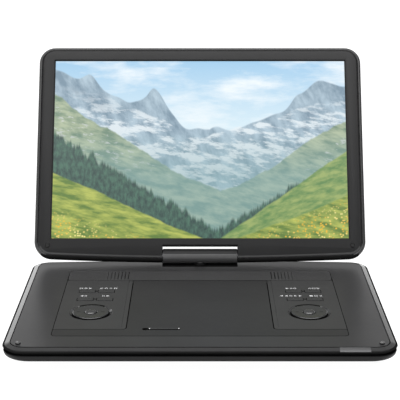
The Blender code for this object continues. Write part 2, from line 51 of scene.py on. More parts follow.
BASE_HALF_W, BASE_FRONT, BASE_BACK = 170.3, -115.8, 114.9
BACK_BOW, CORNER_R, BACK_CORNER_R, BEVEL_W = 5.5, 20.0, 17.0, 7.5
FLARE, FLARE_TOP = 1.9, -8.5  # how fast the front corners grow rounder below a height
BUMPER_X, BUMPER_Y = 156.0, -101.5
GAP, COVER_T = 0.3, 2.0
ABOVE, THROUGH = 1, -5  # heights at which cutters end, over the flat top and under its cover
RECESS_HALF_W, RECESS_FRONT, RECESS_BACK = 130.3, -85.2, 83.3
RELIEF_HALF_W, RELIEF_HALF_D, RELIEF_Y, RELIEF_Z = 38.4, 7.6, 103.4, -0.3
PANEL_INNER, PANEL_FRONT, PANEL_BACK = 65.8, -69.2, 55.4
STRIP_FRONT, SLOT_Y, SLOT_HALF_D = 56.2, 69.6, 10.2
KEY_COLUMNS = {"inner": 89.7, "outer": 108.0}
KEY_ROWS = {"rear": 25.0, "front": 4.0}
KEY_W, KEY_D, KEY_TOP = 14.9, 7.0, 0.4
PAD_X, PAD_Y, PAD_R = 100.0, -28.5, 16.5
DISC_Y, WELL_FRONT, WELL_BACK = -13.5, -81.0, 55.9
LID_HALF_W, LID_FRONT, LID_BACK = 64.9, -84.5, 54.2
LID_PIVOT_Y, LID_PIVOT_Z, LUG_IN, LUG_OUT = 53.9, -1.6, 66.0, 69.2
AXIS_Y, AXIS_Z, LEAN = 104.5, 8.6, 61.6
SCREEN_HALF_W, SCREEN_LOW, SCREEN_HIGH = 168.8, -2.55, 221.4
SCREEN_BOW, SCREEN_CORNER_R = 4.2, 16.8
PICTURE_HALF_W, PICTURE_LOW, PICTURE_HIGH = 152.0, 17.2, 207.2
STOP_X, STOP_Y = 155, 9.7
BARREL_R, BARREL_HALF, BARREL_EDGE = 7.3, 38.0, 0.9
NOTCH_HALF, NOTCH_TOP = 38.3, 10.7
SHAFT_BORE_R, POST_BORE_R = 2.9, 6.2
SIDES = ((-1, "left"), (1, "right"))
LENS_MM, SENSOR_MM, CAMERA_TILT = 108, 36, 73.74
CAMERA_FROM_AXIS = (0, -1.1587, 0.3974)  # metres, from the tilt axis

joints = {joint["name"]: joint for joint in frame["joints"]}
body_of = {node: body for body, nodes in frame["record"]["behaviour"]["bodies"].items() for node in nodes}
axis_point = Vector(joints["screen_tilt"]["pos_m"])
TOP = Matrix.Translation(axis_point - Vector((0, AXIS_Y, AXIS_Z)) * MM)
SCREEN = Matrix.Translation(axis_point) @ Matrix.Rotation(math.radians(LEAN), 4, "X")


# ---------------------------------------------------------------- shapes


def outline(
    half_w, front, back, radius, bow=0.0, front_bow=0.0, back_radius=None, steps=10, side_steps=20
):
    """Rounded rectangle seen from above, anticlockwise, whose front and back sides can bow outwards."""
    points = []
    rear = back_radius or radius
    corners = (
        (1, front + radius, radius, -90),
        (1, back - rear, rear, 0),
        (-1, back - rear, rear, 90),
        (-1, front + radius, radius, 180),
    )
    for number, (side, y, r, start) in enumerate(corners):
        x = side * (half_w - r)
        for step in range(steps + 1):
            angle = math.radians(start + 90 * step / steps)
            points.append((x + r * math.cos(angle), y + r * math.sin(angle)))
        if number in (1, 3):
            level = back if number == 1 else front
            points += [(x * (1 - 2 * step / side_steps), level) for step in range(1, side_steps)]
    middle = (front + back) / 2
    return [
        (x, y + (bow if y > middle else -front_bow) * (1 - (x / half_w) ** 2))
        for x, y in points
    ]


def loft(rings, close=False):
    """A closed body through rings of equal length; the ends are capped, or joined when close is set."""
    body = bmesh.new()
    rows = [[body.verts.new(point) for point in ring] for ring in rings]
    pairs = list(zip(rows, rows[1:]))
    if close:
        pairs.append((rows[-1], rows[0]))
    count = len(rows[0])
    for low, high in pairs:
        for i in range(count):
            j = (i + 1) % count
            body.faces.new((low[i], low[j], high[j], high[i]))
    if not close:
        body.faces.new(rows[0][::-1])
        body.faces.new(rows[-1])
    bmesh.ops.recalc_face_normals(body, faces=body.faces)
    return body


def prism(points, low, high, at=(0, 0)):
    return loft([[(at[0] + x, at[1] + y, z) for x, y in points] for z in (low, high)])


def rounded(half_w, half_d, radius, low, high, at=(0, 0), steps=5):
    return prism(outline(half_w, -half_d, half_d, radius, steps=steps, side_steps=1), low, high, at)


def block(x0, x1, y0, y1, z0, z1):
    x0, x1 = sorted((x0, x1))
    return prism([(x0, y0), (x1, y0), (x1, y1), (x0, y1)], z0, z1)


def turned(profile, x=0.0, y=0.0, steps=64, close=False):
    """A body turned about a vertical axis from its (radius, height) profile."""
    angles = [2 * math.pi * step / steps for step in range(steps)]
    rings = [[(x + r * math.cos(a), y + r * math.sin(a), z) for a in angles] for r, z in profile]
    return loft(rings, close)


def lying(body, direction, at):
    """Turns a body made along +Z so that it runs along direction, then moves it to a point."""
    turn = Vector((0, 0, 1)).rotation_difference(Vector(direction)).to_matrix().to_4x4()
    bmesh.ops.transform(body, matrix=Matrix.Translation(at) @ turn, verts=body.verts)
    return body


def rod(direction, at, radius, length, steps=32):
    return lying(turned([(radius, 0), (radius, length)], steps=steps), direction, at)


def joined(bodies):
    """Several separate bodies as one mesh."""
    whole = bmesh.new()
    for body in bodies:
        part = bpy.data.meshes.new("part")
        body.to_mesh(part)
        body.free()
        whole.from_mesh(part)
        bpy.data.meshes.remove(part)
    return whole


def cut(*bodies):
    return [("DIFFERENCE", body) for body in bodies]


def add(*bodies):
    return [("UNION", body) for body in bodies]


def piece(
    name, body, material, steps=(), nodes=(), rides=None, at=TOP, bevel=0.0, angle=35
):
    """A visible piece, carved by steps and given rounded edges, that rides on a body of the frame."""
    mesh = bpy.data.meshes.new(name)
    body.to_mesh(mesh)
    body.free()
    made = bpy.data.objects.new(name, mesh)
    bpy.context.scene.collection.objects.link(made)
    for operation, other in steps:
        other_mesh = bpy.data.meshes.new("tool")
        other.to_mesh(other_mesh)
        other.free()
        tool = bpy.data.objects.new("tool", other_mesh)
        bpy.context.scene.collection.objects.link(tool)
        step = made.modifiers.new("step", "BOOLEAN")
        step.operation = operation
        step.object = tool
        bpy.context.view_layer.update()
        shaped = made.evaluated_get(bpy.context.evaluated_depsgraph_get())
        carved = bpy.data.meshes.new_from_object(shaped)
        made.modifiers.clear()
        made.data = carved
        bpy.data.objects.remove(tool)
    made.data.name = name
    made.data.transform(Matrix.Scale(MM, 4))
    made.data.materials.clear()
    made.data.materials.append(material)
    made.data.shade_smooth()
    made.data.set_sharp_from_angle(angle=math.radians(angle))
    if bevel:
        edge = made.modifiers.new("edge", "BEVEL")
        edge.width = bevel * MM
        edge.segments = 2
        edge.limit_method = "ANGLE"
        edge.angle_limit = math.radians(angle)
        edge.use_clamp_overlap = True
        edge.harden_normals = True
    made.matrix_world = at
    nodes = [nodes] if isinstance(nodes, str) else list(nodes)
    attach(made, rides or body_of[nodes[0]])
    if nodes:
        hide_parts(*nodes)
    return made


# ---------------------------------------------------------------- materials


def new_material(name):
    material = bpy.data.materials.new(name)
    material.use_nodes = True
    tree = material.node_tree
    return material, tree, tree.nodes["Principled BSDF"]


def node(tree, kind, inputs=None, **settings):
    """A new node whose inputs are linked to sockets or set to values."""
    made = tree.nodes.new("ShaderNode" + kind)
    for key, value in settings.items():
        setattr(made, key, value)
    for key, value in (inputs or {}).items():
        socket = made.inputs[key]
        if isinstance(value, bpy.types.NodeSocket):
            tree.links.new(value, socket)
        else:
            socket.default_value = value
    return made


def noise(tree, vector, scale, detail=2.0, roughness=0.5):
    inputs = {"Vector": vector, "Scale": scale, "Detail": detail, "Roughness": roughness}
    return node(tree, "TexNoise", inputs).outputs["Fac"]


def spread(tree, value, low, high, to_low, to_high):
    inputs = {"Value": value, "From Min": low, "From Max": high, "To Min": to_low, "To Max": to_high}
    return node(tree, "MapRange", inputs).outputs["Result"]


def blended(tree, factor, first, second):
    """Two colours mixed by a factor. Each colour is a socket or an RGB triple."""
    mix = node(tree, "Mix", {"Factor": factor}, data_type="RGBA")
    sockets = [socket for socket in mix.inputs if socket.type == "RGBA"]
    for socket, value in zip(sockets, (first, second)):
        if isinstance(value, bpy.types.NodeSocket):
            tree.links.new(value, socket)
        else:
            socket.default_value = (*value, 1)
    return next(socket for socket in mix.outputs if socket.type == "RGBA")


def moulded(
    name, colour, rough, grain=0.12, grain_scale=5200.0, spec=0.5, metallic=0.0, tint=0.08, wear=0.04
):
    """Moulded plastic or metal, with fine grain, faint cloudiness and handling marks."""
    cloud_scale, mark_scale, grain_depth = 22.0, 130.0, 0.00008
    material, tree, shader = new_material(name)
    where = node(tree, "TexCoord").outputs["Object"]
    cloud = noise(tree, where, cloud_scale, 4.0)
    fine = noise(tree, where, grain_scale, 2.0, 0.6)
    marks = noise(tree, where, mark_scale, 6.0, 0.7)
    darker = tuple(c * (1 - tint) for c in colour)
    lighter = tuple(min(1.0, c * (1 + tint)) for c in colour)
    tinted = blended(tree, spread(tree, cloud, 0.3, 0.7, 0, 1), darker, lighter)
    tree.links.new(tinted, shader.inputs["Base Color"])
    worn = spread(tree, marks, 0.35, 0.75, rough - wear, rough + wear)
    grainy = spread(tree, fine, 0.3, 0.7, -0.02, 0.02)
    total = node(tree, "Math", {0: worn, 1: grainy}, operation="ADD")
    tree.links.new(total.outputs[0], shader.inputs["Roughness"])
    bump = node(tree, "Bump", {"Height": fine, "Strength": grain, "Distance": grain_depth})
    tree.links.new(bump.outputs["Normal"], shader.inputs["Normal"])
    shader.inputs["Specular IOR Level"].default_value = spec
    shader.inputs["Metallic"].default_value = metallic
    return material


# SHADE and MATT have no specular level: even a low one shines in narrow gaps seen at a grazing angle.
CASE = moulded("case_plastic", (0.027, 0.027, 0.0275), 0.33, spec=0.5, wear=0.02)
# GLOSS_HIGHLIGHT is a lighter, glossier copy of the case plastic. On the sides of the bevel and on the funnels
# around the pads, its lighter colour is painted highlight.
GLOSS_HIGHLIGHT = moulded("glossy_painted_highlight_plastic", (0.034, 0.034, 0.0345), 0.16, spec=1.0, wear=0.02)
SHADE = moulded("shaded_gap", (0.009, 0.009, 0.009), 0.85, spec=0.0)
MATT = moulded("matt_plastic", (0.045, 0.045, 0.046), 0.8, spec=0.0)
LOWER_PLASTIC_AND_SHADE = moulded("lower_plastic_and_painted_shade", (0.006, 0.006, 0.0062), 0.48, spec=0.2)
PANEL_AND_HIGHLIGHT = moulded("panel_plastic", (0.031, 0.031, 0.0315), 0.36, spec=0.47, wear=0.02)
LID = moulded("lid_plastic", (0.02, 0.02, 0.0204), 0.34, spec=0.4, wear=0.02)
STRIP = moulded("strip_plastic", (0.034, 0.034, 0.0345), 0.42, spec=0.45)
KEY = moulded("key_plastic", (0.028, 0.028, 0.029), 0.3, spec=0.5)
PAD = moulded("pad_plastic", (0.024, 0.024, 0.0245), 0.22, spec=0.7)
BEZEL = moulded("bezel_plastic", (0.0075, 0.0075, 0.0078), 0.42, spec=0.25, wear=0.03)
RIM = moulded("rim_plastic", (0.012, 0.012, 0.0125), 0.3, spec=0.5)
BARREL = moulded("barrel_plastic", (0.07, 0.07, 0.071), 0.38, spec=0.4)
BARREL_SHADED = moulded("barrel_underside_painted_shade", (0.055, 0.055, 0.056), 0.5, spec=0.3)
DEEP = moulded("deep_black", (0.006, 0.006, 0.006), 0.7)
BUMPER_HIGHLIGHT = moulded("bumper_rubber", (0.08, 0.08, 0.08), 0.22, grain=0.1, spec=0.8)
RUBBER = moulded("rubber", (0.014, 0.014, 0.014), 0.82, grain=0.3, spec=0.3)
STEEL = moulded("steel", (0.55, 0.55, 0.57), 0.28, grain=0.05, metallic=1.0, tint=0.05)
BADGE = moulded("badge_metal", (0.085, 0.085, 0.087), 0.45, grain=0.06, metallic=0.4, tint=0.05)
PRINT_AND_GLINT = moulded("white_print_and_glints", (0.62, 0.62, 0.63), 0.6, grain=0.05, tint=0.06)
GREEN = moulded("circuit_board", (0.02, 0.13, 0.05), 0.45, grain=0.2, grain_scale=900.0)
FOIL = moulded("foil_pouch", (0.4, 0.41, 0.43), 0.36, grain=0.3, grain_scale=500.0, metallic=0.8)


def painted(made, material, chosen):
    """Gives another material to the faces that chosen picks by centre, in millimetres, and normal."""
    made.data.materials.append(material)
    for face in made.data.polygons:
        if chosen(face.center / MM, face.normal):
            face.material_index = len(made.data.materials) - 1


SIDE_WALL = 0.5  # a face whose normal rises less than this is the wall of a gap
# The bevel's sides take painted highlight where normals rise between BRIGHT_LOW and BRIGHT_HIGH. Below ROLL_TOP
# the rolled edge takes painted shade, darker still at the front where normals rise less than ROLL_LOW.
BRIGHT_LOW, BRIGHT_HIGH, ROLL_LOW = 0.955, 0.985, 0.93  # how far normals rise along the bevel
ROLL_TOP = -1.5


# ---------------------------------------------------------------- base shell


def base_ring(z, side, front=None, back=None):
    """The base's outline at a height, drawn in by side, front and back insets."""
    front = side if front is None else front
    back = side if back is None else back
    drawn_in = min(side, BEVEL_W)
    plan = outline(
        BASE_HALF_W - side,
        BASE_FRONT + front,
        BASE_BACK - back,
        CORNER_R - drawn_in + FLARE * max(0.0, FLARE_TOP - z),
        BACK_BOW,
        back_radius=BACK_CORNER_R - drawn_in,
    )
    return [(x, y, z) for x, y in plan]


# (inset, height) up the outside of the top cover: lip, rolled edge, bevel, crease, flat
ROLL = (
    (2.9, -5.2), (2.9, -3.3), (0.75, -3.15), (0.3, -3.0), (0.05, -2.75), (0.0, -2.55), (0.15, -2.25),
    (0.7, -1.9), (2.0, -1.47), (3.2, -1.1), (4.7, -0.65), (6.0, -0.27), (6.25, -0.2), (6.45, -0.75),
    (7.0, -0.75), (7.2, 0.0),
)
recess = outline(RECESS_HALF_W, RECESS_FRONT, RECESS_BACK, 4.5, steps=5, side_steps=1)
top_cuts = [
    prism(recess, -COVER_T - GAP, ABOVE),
    block(-PANEL_INNER, PANEL_INNER, WELL_FRONT, WELL_BACK, THROUGH, -COVER_T),
    turned([(POST_BORE_R, -8), (POST_BORE_R, ABOVE)], y=AXIS_Y),
    rounded(RELIEF_HALF_W, RELIEF_HALF_D, 1.2, RELIEF_Z, ABOVE, (0, RELIEF_Y)),
]
for side, _ in SIDES:
    under_keys = block(side * 76, side * 124, -54, 38, THROUGH, -COVER_T)
    under_speaker = block(side * 74, side * 126, 59.5, 80, THROUGH, -COVER_T)
    bumper_seat = turned([(2.5, -1.2), (2.5, ABOVE)], side * BUMPER_X, BUMPER_Y, steps=24)
    top_cuts += [under_keys, under_speaker, bumper_seat]
lid_lugs = [block(side * LUG_IN, side * LUG_OUT, 51.9, 55.3, -3.4, -0.1) for side, _ in SIDES]
top = piece(
    "base_top_skin",
    loft([base_ring(-4.0, 4.2), base_ring(-5.2, 4.2)] + [base_ring(z, inset) for inset, z in ROLL]),
    CASE,
    cut(*top_cuts) + add(*lid_lugs),
    "base_top_cover",
    bevel=0.22,
)


def shaded_on_top(centre, normal):
    """The walls of the recess, the relief under the hinge, and the bevel's crease and outer edge."""
    if abs(centre.x) < RECESS_HALF_W + 0.5 and RECESS_FRONT - 0.5 < centre.y < RECESS_BACK + 0.5:
        return centre.z < -GAP and normal.z < SIDE_WALL
    in_relief = abs(centre.x) < RELIEF_HALF_W + 0.6 and centre.y > RELIEF_Y - RELIEF_HALF_D - 0.8
    if in_relief and RELIEF_Z - 0.05 < centre.z < -0.02:
        return True
    crease = -0.8 < centre.z < -0.1 and not 0.6 < normal.z < 0.99
    faces_front = abs(normal.x) < 0.2
    edge = centre.z < ROLL_TOP and normal.z < (ROLL_LOW if faces_front else BRIGHT_LOW)
    faces_back = normal.y > 0.15 and centre.y > 80 and centre.z < -0.1
    return crease or edge or faces_back


# The recess floor under the panels and the lid takes the bezel's darker plastic as painted shade.
def shaded_recess_floor(centre, normal):
    return -4.2 < centre.z < -1.9 and normal.z > SIDE_WALL and abs(centre.x) < RECESS_HALF_W + 0.7


# Painted highlight: the sides of the bevel take the lighter, glossier plastic.
painted(top, GLOSS_HIGHLIGHT, lambda centre, normal: BRIGHT_LOW < normal.z < BRIGHT_HIGH and abs(normal.x) > 0.12)
# Painted shade: where the rolled edge turns down below ROLL_TOP, it takes the darker lower plastic.
painted(top, LOWER_PLASTIC_AND_SHADE, lambda centre, normal: ROLL_LOW < normal.z < BRIGHT_LOW and centre.z < ROLL_TOP)
painted(top, BEZEL, shaded_recess_floor)
painted(top, SHADE, shaded_on_top)

# (height, side inset, front inset, back inset) down the outside of the bottom cover and up its inside
BELLY = (
    (-22.0, 17, 39, 14), (-21.6, 14.8, 37, 12.5), (-20.8, 12.6, 34, 10.6), (-18.6, 8.6, 27, 8.2),
    (-16.5, 5.4, 20, 6), (-14.2, 3.6, 12, 4.0), (-12.6, 2.7, 6.6, 3.0), (-11.6, 1.8, 3.2, 2.0),
    (-11.0, 1.2, 1.6, 1.3), (-10.5, 1.0, 1.1, 1.0), (-9.8, 0.9, 0.9, 0.9), (-6.9, 0.6, 0.6, 0.6),
    (-6.3, 0.7, 0.7, 0.7), (-5.9, 1.1, 1.1, 1.1), (-5.9, 4.55, 4.55, 4.55), (-4.4, 4.55, 4.55, 4.55),
    (-4.4, 6.2, 6.2, 6.2), (-10.2, 6.2, 6.2, 6.2), (-12.8, 6.7, 12, 7), (-17.5, 9.5, 29, 10),
    (-20.0, 16.5, 42, 14),
)
PORT_LOW, PORT_HIGH, JACK_Z, JACK_R = -14.6, -8.6, -11.6, 3.4
PORT_IN, PORT_OUT = 160, 172  # x where the cuts for the sockets begin and end
USB_Y, DC_Y, AV_Y, PHONE_Y, SWITCH_Y = 0.0, -28.0, 22.0, 38.0, -50.0
CARD_Y, WHEEL_Y, WHEEL_R = -4.0, -40.0, 10.8
VENT_Y, VENT_TOP = 76, -20.3
FEET = {
    "front_left": (-128, -62), "front_right": (128, -62), "rear_left": (-134, 84), "rear_right": (134, 84),
}
bottom_cuts = [
    block(PORT_IN, PORT_OUT, USB_Y - 7.5, USB_Y + 7.5, PORT_LOW - GAP, PORT_HIGH + GAP),
    block(PORT_IN, PORT_OUT, DC_Y - 4.8, DC_Y + 4.8, PORT_LOW - GAP, PORT_HIGH + GAP),
    block(PORT_IN, PORT_OUT, SWITCH_Y - 6, SWITCH_Y + 6, -12.7, -9.3),
    rod((1, 0, 0), (PORT_IN, AV_Y, JACK_Z), JACK_R, PORT_OUT - PORT_IN),
    rod((1, 0, 0), (PORT_IN, PHONE_Y, JACK_Z), JACK_R, PORT_OUT - PORT_IN),
    block(-PORT_OUT, -PORT_IN, CARD_Y - 14.6, CARD_Y + 14.6, -13.6, -9.0),
    block(-PORT_OUT, -PORT_IN, WHEEL_Y - WHEEL_R, WHEEL_Y + WHEEL_R, -12.7, -9.1),
]
bottom_cuts += [turned([(7.3, -23), (7.3, -21.1)], x, y, 32) for x, y in FEET.values()]
bottom_cuts += [rounded(1.4, 16, 1.3, -23, VENT_TOP, (x, VENT_Y)) for x in range(-36, 37, 12)]
bottom = piece(
    "base_bottom_skin",
    loft([base_ring(*row) for row in BELLY]),
    LOWER_PLASTIC_AND_SHADE,
    cut(*bottom_cuts),
    "base_bottom_cover",
    bevel=0.2,
)


def shaded_below(centre, normal):
    """The lip in the seam between the covers, and the insides of the vents, which are blind."""
    in_vents = abs(centre.x) < 40 and centre.y > VENT_Y - 18 and -21.9 < centre.z < VENT_TOP + 0.2
    return centre.z > -6.4 or in_vents


painted(bottom, SHADE, shaded_below)
foot = [(5.6, -24.0), (6.4, -23.8), (6.9, -23.3), (7.0, -22.6), (7.0, -21.4)]
hollow = [(4.2, -24.5), (4.2, -23.7), (3.8, -23.6)]
for place, (x, y) in FEET.items():
    dished = cut(turned(hollow, x, y, 40))
    piece(f"foot_{place}_skin", turned(foot, x, y, 40), RUBBER, dished, f"foot_{place}")
bumper = [(2.1, -0.9), (2.1, 1.0), (1.9, 1.45), (1.45, 1.72), (0.9, 1.86), (0.3, 1.9)]
# The front bumpers take a lighter rubber than the screen's bumpers, as a painted highlight on their domes, and
# their sides take painted shade.
for side, word in SIDES:
    dome = turned(bumper, side * BUMPER_X, BUMPER_Y, 24)
    stud = piece(f"front_bumper_{word}_skin", dome, BUMPER_HIGHLIGHT, (), f"front_bumper_{word}")
    painted(stud, SHADE, lambda centre, normal: normal.z < 0.3)

BADGE_FROM, BADGE_TO = 118.6, 145.0
# (inset, height) up the rolled front edge under the badge
badge_roll = ((0.75, -2.3), (1.1, -2.05), (3.2, -1.2), (4.7, -0.72), (6.2, -0.3))
inner = [(BASE_FRONT + inset - 0.1, z + 0.15) for inset, z in badge_roll]
outer = [(BASE_FRONT + inset - 0.25, z + 0.45) for inset, z in badge_roll]
piece(
    "badge_skin",
    loft([[(x, y, z) for y, z in inner + outer[::-1]] for x in (BADGE_FROM, BADGE_TO)]),
    BADGE,
    (),
    "badge_plate",
    bevel=0.08,
)

# ---------------------------------------------------------------- panels, keys and direction pads

PANEL_ROUND, SEAM, DIMPLE_R = 3.4, 0.55, 1.25
DASH_AT, DASH_HALF_W = 11, 1.7
# (inset, height) up the wall of a key and over its rounded edge
KEY_PROFILE = (
    (0, -4.5), (0, KEY_TOP - 0.3), (0.12, KEY_TOP - 0.12), (0.5, KEY_TOP - 0.02), (1.2, KEY_TOP),
)


def panel_plan(side):
    """A panel's outline, with a round where the disc lid's fillet passes its inner front corner."""
    outer = RECESS_HALF_W - SEAM
    plan = [(outer, PANEL_FRONT), (outer, PANEL_BACK), (PANEL_INNER, PANEL_BACK)]
    for step in range(7):
        angle = math.radians(180 + 15 * step)
        x = PANEL_INNER + PANEL_ROUND * (1 + math.cos(angle))
        plan.append((x, PANEL_FRONT + PANEL_ROUND * (1 + math.sin(angle))))
    return [(side * x, y) for x, y in plan]


def on_funnel(centre, normal):
    """The sloping wall around a direction pad."""
    return 0.7 < normal.z < 0.95


def panel_gaps(centre, normal):
    """The walls of a panel's holes, and the part of the sloping wall that leans to the front."""
    return abs(normal.z) < SIDE_WALL or (on_funnel(centre, normal) and normal.y < -0.44)


for side, word in SIDES:
    holes = [block(side * (PANEL_INNER - 1), side * (LUG_OUT + GAP), 51.5, 57, -3, ABOVE)]
    between = side * (KEY_COLUMNS["inner"] + KEY_COLUMNS["outer"]) / 2
    for y in KEY_ROWS.values():
        for x in KEY_COLUMNS.values():
            at = (side * x, y - 0.2)
            holes.append(rounded(KEY_W / 2 + SEAM, KEY_D / 2 + SEAM, 1.1, -3, ABOVE, at))
        holes.append(turned([(DIMPLE_R - 0.3, -0.7), (DIMPLE_R, 0.2)], between, y + 0.6, 24))
    funnel = [(PAD_R + 0.9, -3), (PAD_R + 0.9, -1.55), (PAD_R + 3.2, -0.04), (PAD_R + 3.6, 0.3)]
    holes.append(turned(funnel, side * PAD_X, PAD_Y, 96))
    seam = block(side * 69.35, side * 69.75, PANEL_FRONT + 4, 51, -0.35, ABOVE)
    panel = piece(
        f"{word}_panel_skin",
        prism(panel_plan(side), -COVER_T, 0),
        PANEL_AND_HIGHLIGHT,
        cut(*holes, seam),
        f"{word}_control_panel",
        bevel=0.2,
    )
    # Painted highlight: the funnel around the pad takes the lighter, glossier plastic.
    painted(panel, GLOSS_HIGHLIGHT, on_funnel)
    painted(panel, SHADE, panel_gaps)
    for column, x in KEY_COLUMNS.items():
        for row, y in KEY_ROWS.items():
            x_mid = side * x
            rings = []
            for inset, z in KEY_PROFILE:
                w, d = KEY_W / 2 - inset, KEY_D / 2 - inset
                plan = outline(w, -d, d, 0.8, steps=5, side_steps=1)
                rings.append([(x_mid + px, y + py, z) for px, py in plan])
            flange = block(x_mid - 8.5, x_mid + 8.5, y - 4.3, y + 4.3, -4.6, -3.3)
            name = f"{word}_key_{row}_{column}"
            key = piece(f"{name}_skin", loft(rings), KEY, add(flange), name)
            painted(key, SHADE, lambda centre, normal: normal.z < 0.4 or centre.z < -1)
    ring = [
        (6.4, -4.6), (18.4, -4.6), (18.4, -3.6), (PAD_R, -3.6), (PAD_R, 0.12), (PAD_R - 0.25, 0.4),
        (PAD_R - 0.8, 0.58), (PAD_R - 1.5, 0.6), (PAD_R - 2.6, 0.52), (PAD_R - 4.0, 0.38), (10.5, 0.24),
        (8.6, 0.18), (6.9, 0.18), (6.2, 0.05), (5.9, -0.3), (5.9, -3.4), (6.4, -3.9),
    ]
    ring_body = turned(ring, side * PAD_X, PAD_Y, 96, True)
    dashes = [
        block(x - DASH_HALF_W, x + DASH_HALF_W, PAD_Y - 0.4, PAD_Y + 0.4, 0.1, ABOVE)
        for x in (side * PAD_X - DASH_AT, side * PAD_X + DASH_AT)
    ]
    pad = piece(f"{word}_pad_ring_skin", ring_body, PAD, cut(*dashes), f"{word}_pad_ring")
    painted(pad, SHADE, lambda centre, normal: normal.z < 0.45)
    button = [
        (1.5, -5.7), (1.5, -4.6), (5.4, -4.6), (5.4, 0.15), (5.3, 0.5), (4.9, 0.85), (4.2, 1.2),
        (3.2, 1.48), (2.2, 1.65), (1.2, 1.74), (0.3, 1.77),
    ]
    dome = turned(button, side * PAD_X, PAD_Y, 64)
    # The centre button takes the same lighter, glossier plastic as the painted highlights.
    piece(f"{word}_pad_centre_skin", dome, GLOSS_HIGHLIGHT, (), f"{word}_pad_centre")


INK_LOW, INK_HIGH = -0.03, 0.04
STROKE, LINE, EDGE = 0.5, 0.44, 0.4  # widths of upright strokes, of lines and of a frame's long edges


def sign(kind, x, y, r):
    """One plain control sign, as thin bodies of ink on a panel."""
    ink = (INK_LOW, INK_HIGH)
    if kind == "ring":
        profile = [(r - STROKE, INK_LOW), (r, INK_LOW), (r, INK_HIGH), (r - STROKE, INK_HIGH)]
        return [turned(profile, x, y, 24, True)]
    if kind in ("left", "right"):
        way = 1 if kind == "right" else -1
        return [prism([(x - way * r, y - r), (x + way * r, y), (x - way * r, y + r)], *ink)]
    if kind == "bars":
        places = (x - r / 2, x + r / 2)
        return [block(at - STROKE / 2, at + STROKE / 2, y - r, y + r, *ink) for at in places]
    if kind == "lines":
        rows = (-r + LINE / 2, 0, r - LINE / 2)
        return [block(x - r, x + r, y + at - LINE / 2, y + at + LINE / 2, *ink) for at in rows]
    if kind == "frame":
        rows = (-r + EDGE / 2, r - EDGE / 2)
        edges = [block(x - r, x + r, y + at - EDGE / 2, y + at + EDGE / 2, *ink) for at in rows]
        return edges + [
            block(x + at - STROKE / 2, x + at + STROKE / 2, y - r + EDGE, y + r - EDGE, *ink)
            for at in (-r + STROKE / 2, r - STROKE / 2)
        ]
    return [block(x - r, x + r, y - r, y + r, *ink)]


SIGN_R, SIGN_ROWS = 1.45, {"rear": 33.4, "front": 13.0}
# For each row of a panel: the middle and width of each group of signs, and the signs in it.
SIGNS = {
    "left": {
        "rear": ((-110.0, 13.6, "frame lines right"), (-88.2, 18.0, "lines ring bars frame")),
        "front": ((-110.2, 7.6, "left bars"), (-89.4, 8.6, "bars right")),
    },
    "right": {
        "rear": ((87.8, 10.6, "right bars ring"), (109.8, 11.6, "ring frame lines")),
        "front": ((86.2, 22.6, "left left ring right right"), (110.0, 13.9, "square frame bars")),
    },
}
for word, rows in SIGNS.items():
    ink = []
    for row, groups in rows.items():
        for middle, width, kinds in groups:
            kinds = kinds.split()
            pitch = width / len(kinds)
            for number, kind in enumerate(kinds):
                x = middle + (number - (len(kinds) - 1) / 2) * pitch
                ink += sign(kind, x, SIGN_ROWS[row], SIGN_R)
    piece(f"{word}_panel_print_skin", joined(ink), PRINT_AND_GLINT, (), (), rides="base")

OPEN_COUNT, OPEN_FROM, OPEN_PITCH, OPEN_HALF_W, OPEN_TAPER = 7, 70.8, 3.4, 0.42, 0.03
FINE_COUNT, FINE_FROM, FINE_PITCH, FINE_HALF_W, FINE_DEPTH = 22, 94.0, 1.6, 0.26, 0.22
open_slots, fine_slots = [], []
for side, _ in SIDES:
    for number in range(OPEN_COUNT):
        at = (side * (OPEN_FROM + OPEN_PITCH * number), SLOT_Y)
        width = OPEN_HALF_W - OPEN_TAPER * number
        open_slots.append(rounded(width, SLOT_HALF_D, 0.24, -3, ABOVE, at, 4))
    for number in range(FINE_COUNT):
        at = (side * (FINE_FROM + FINE_PITCH * number), SLOT_Y)
        fine_slots.append(rounded(FINE_HALF_W, SLOT_HALF_D, 0.25, -FINE_DEPTH, ABOVE, at, 3))
strip = outline(RECESS_HALF_W - SEAM, STRIP_FRONT, RECESS_BACK - SEAM, 4.2, steps=5, side_steps=1)
piece(
    "speaker_strip_skin",
    prism(strip, -COVER_T, 0),
    STRIP,
    cut(joined(open_slots), joined(fine_slots)),
    "rear_speaker_strip",
    bevel=0.15,
)

# ---------------------------------------------------------------- disc lid and its release

WING_BACK, WING_X, WING_R, FILLET = -69.9, RECESS_HALF_W - SEAM, 4.2, 4.0
BEAD_R, PIN_R, PIN_X = 1.45, 0.75, 68.9
SLIDE_Y, SLIDER_TOP = -69.0, 0.4


def lid_plan():
    """Inverted T: a square over the disc, with a strip along its front that reaches out to both sides."""
    quarter = [math.radians(15 * step) for step in range(7)]
    half = [
        (WING_X - WING_R + WING_R * math.sin(a), LID_FRONT + WING_R - WING_R * math.cos(a))
        for a in quarter
    ]
    half += [(WING_X - 1 + math.cos(a), WING_BACK - 1 + math.sin(a)) for a in quarter]
    half += [
        (LID_HALF_W + FILLET - FILLET * math.sin(a), WING_BACK + FILLET - FILLET * math.cos(a))
        for a in quarter
    ]
    half.append((LID_HALF_W, LID_BACK))
    return half + [(-x, y) for x, y in half[::-1]]


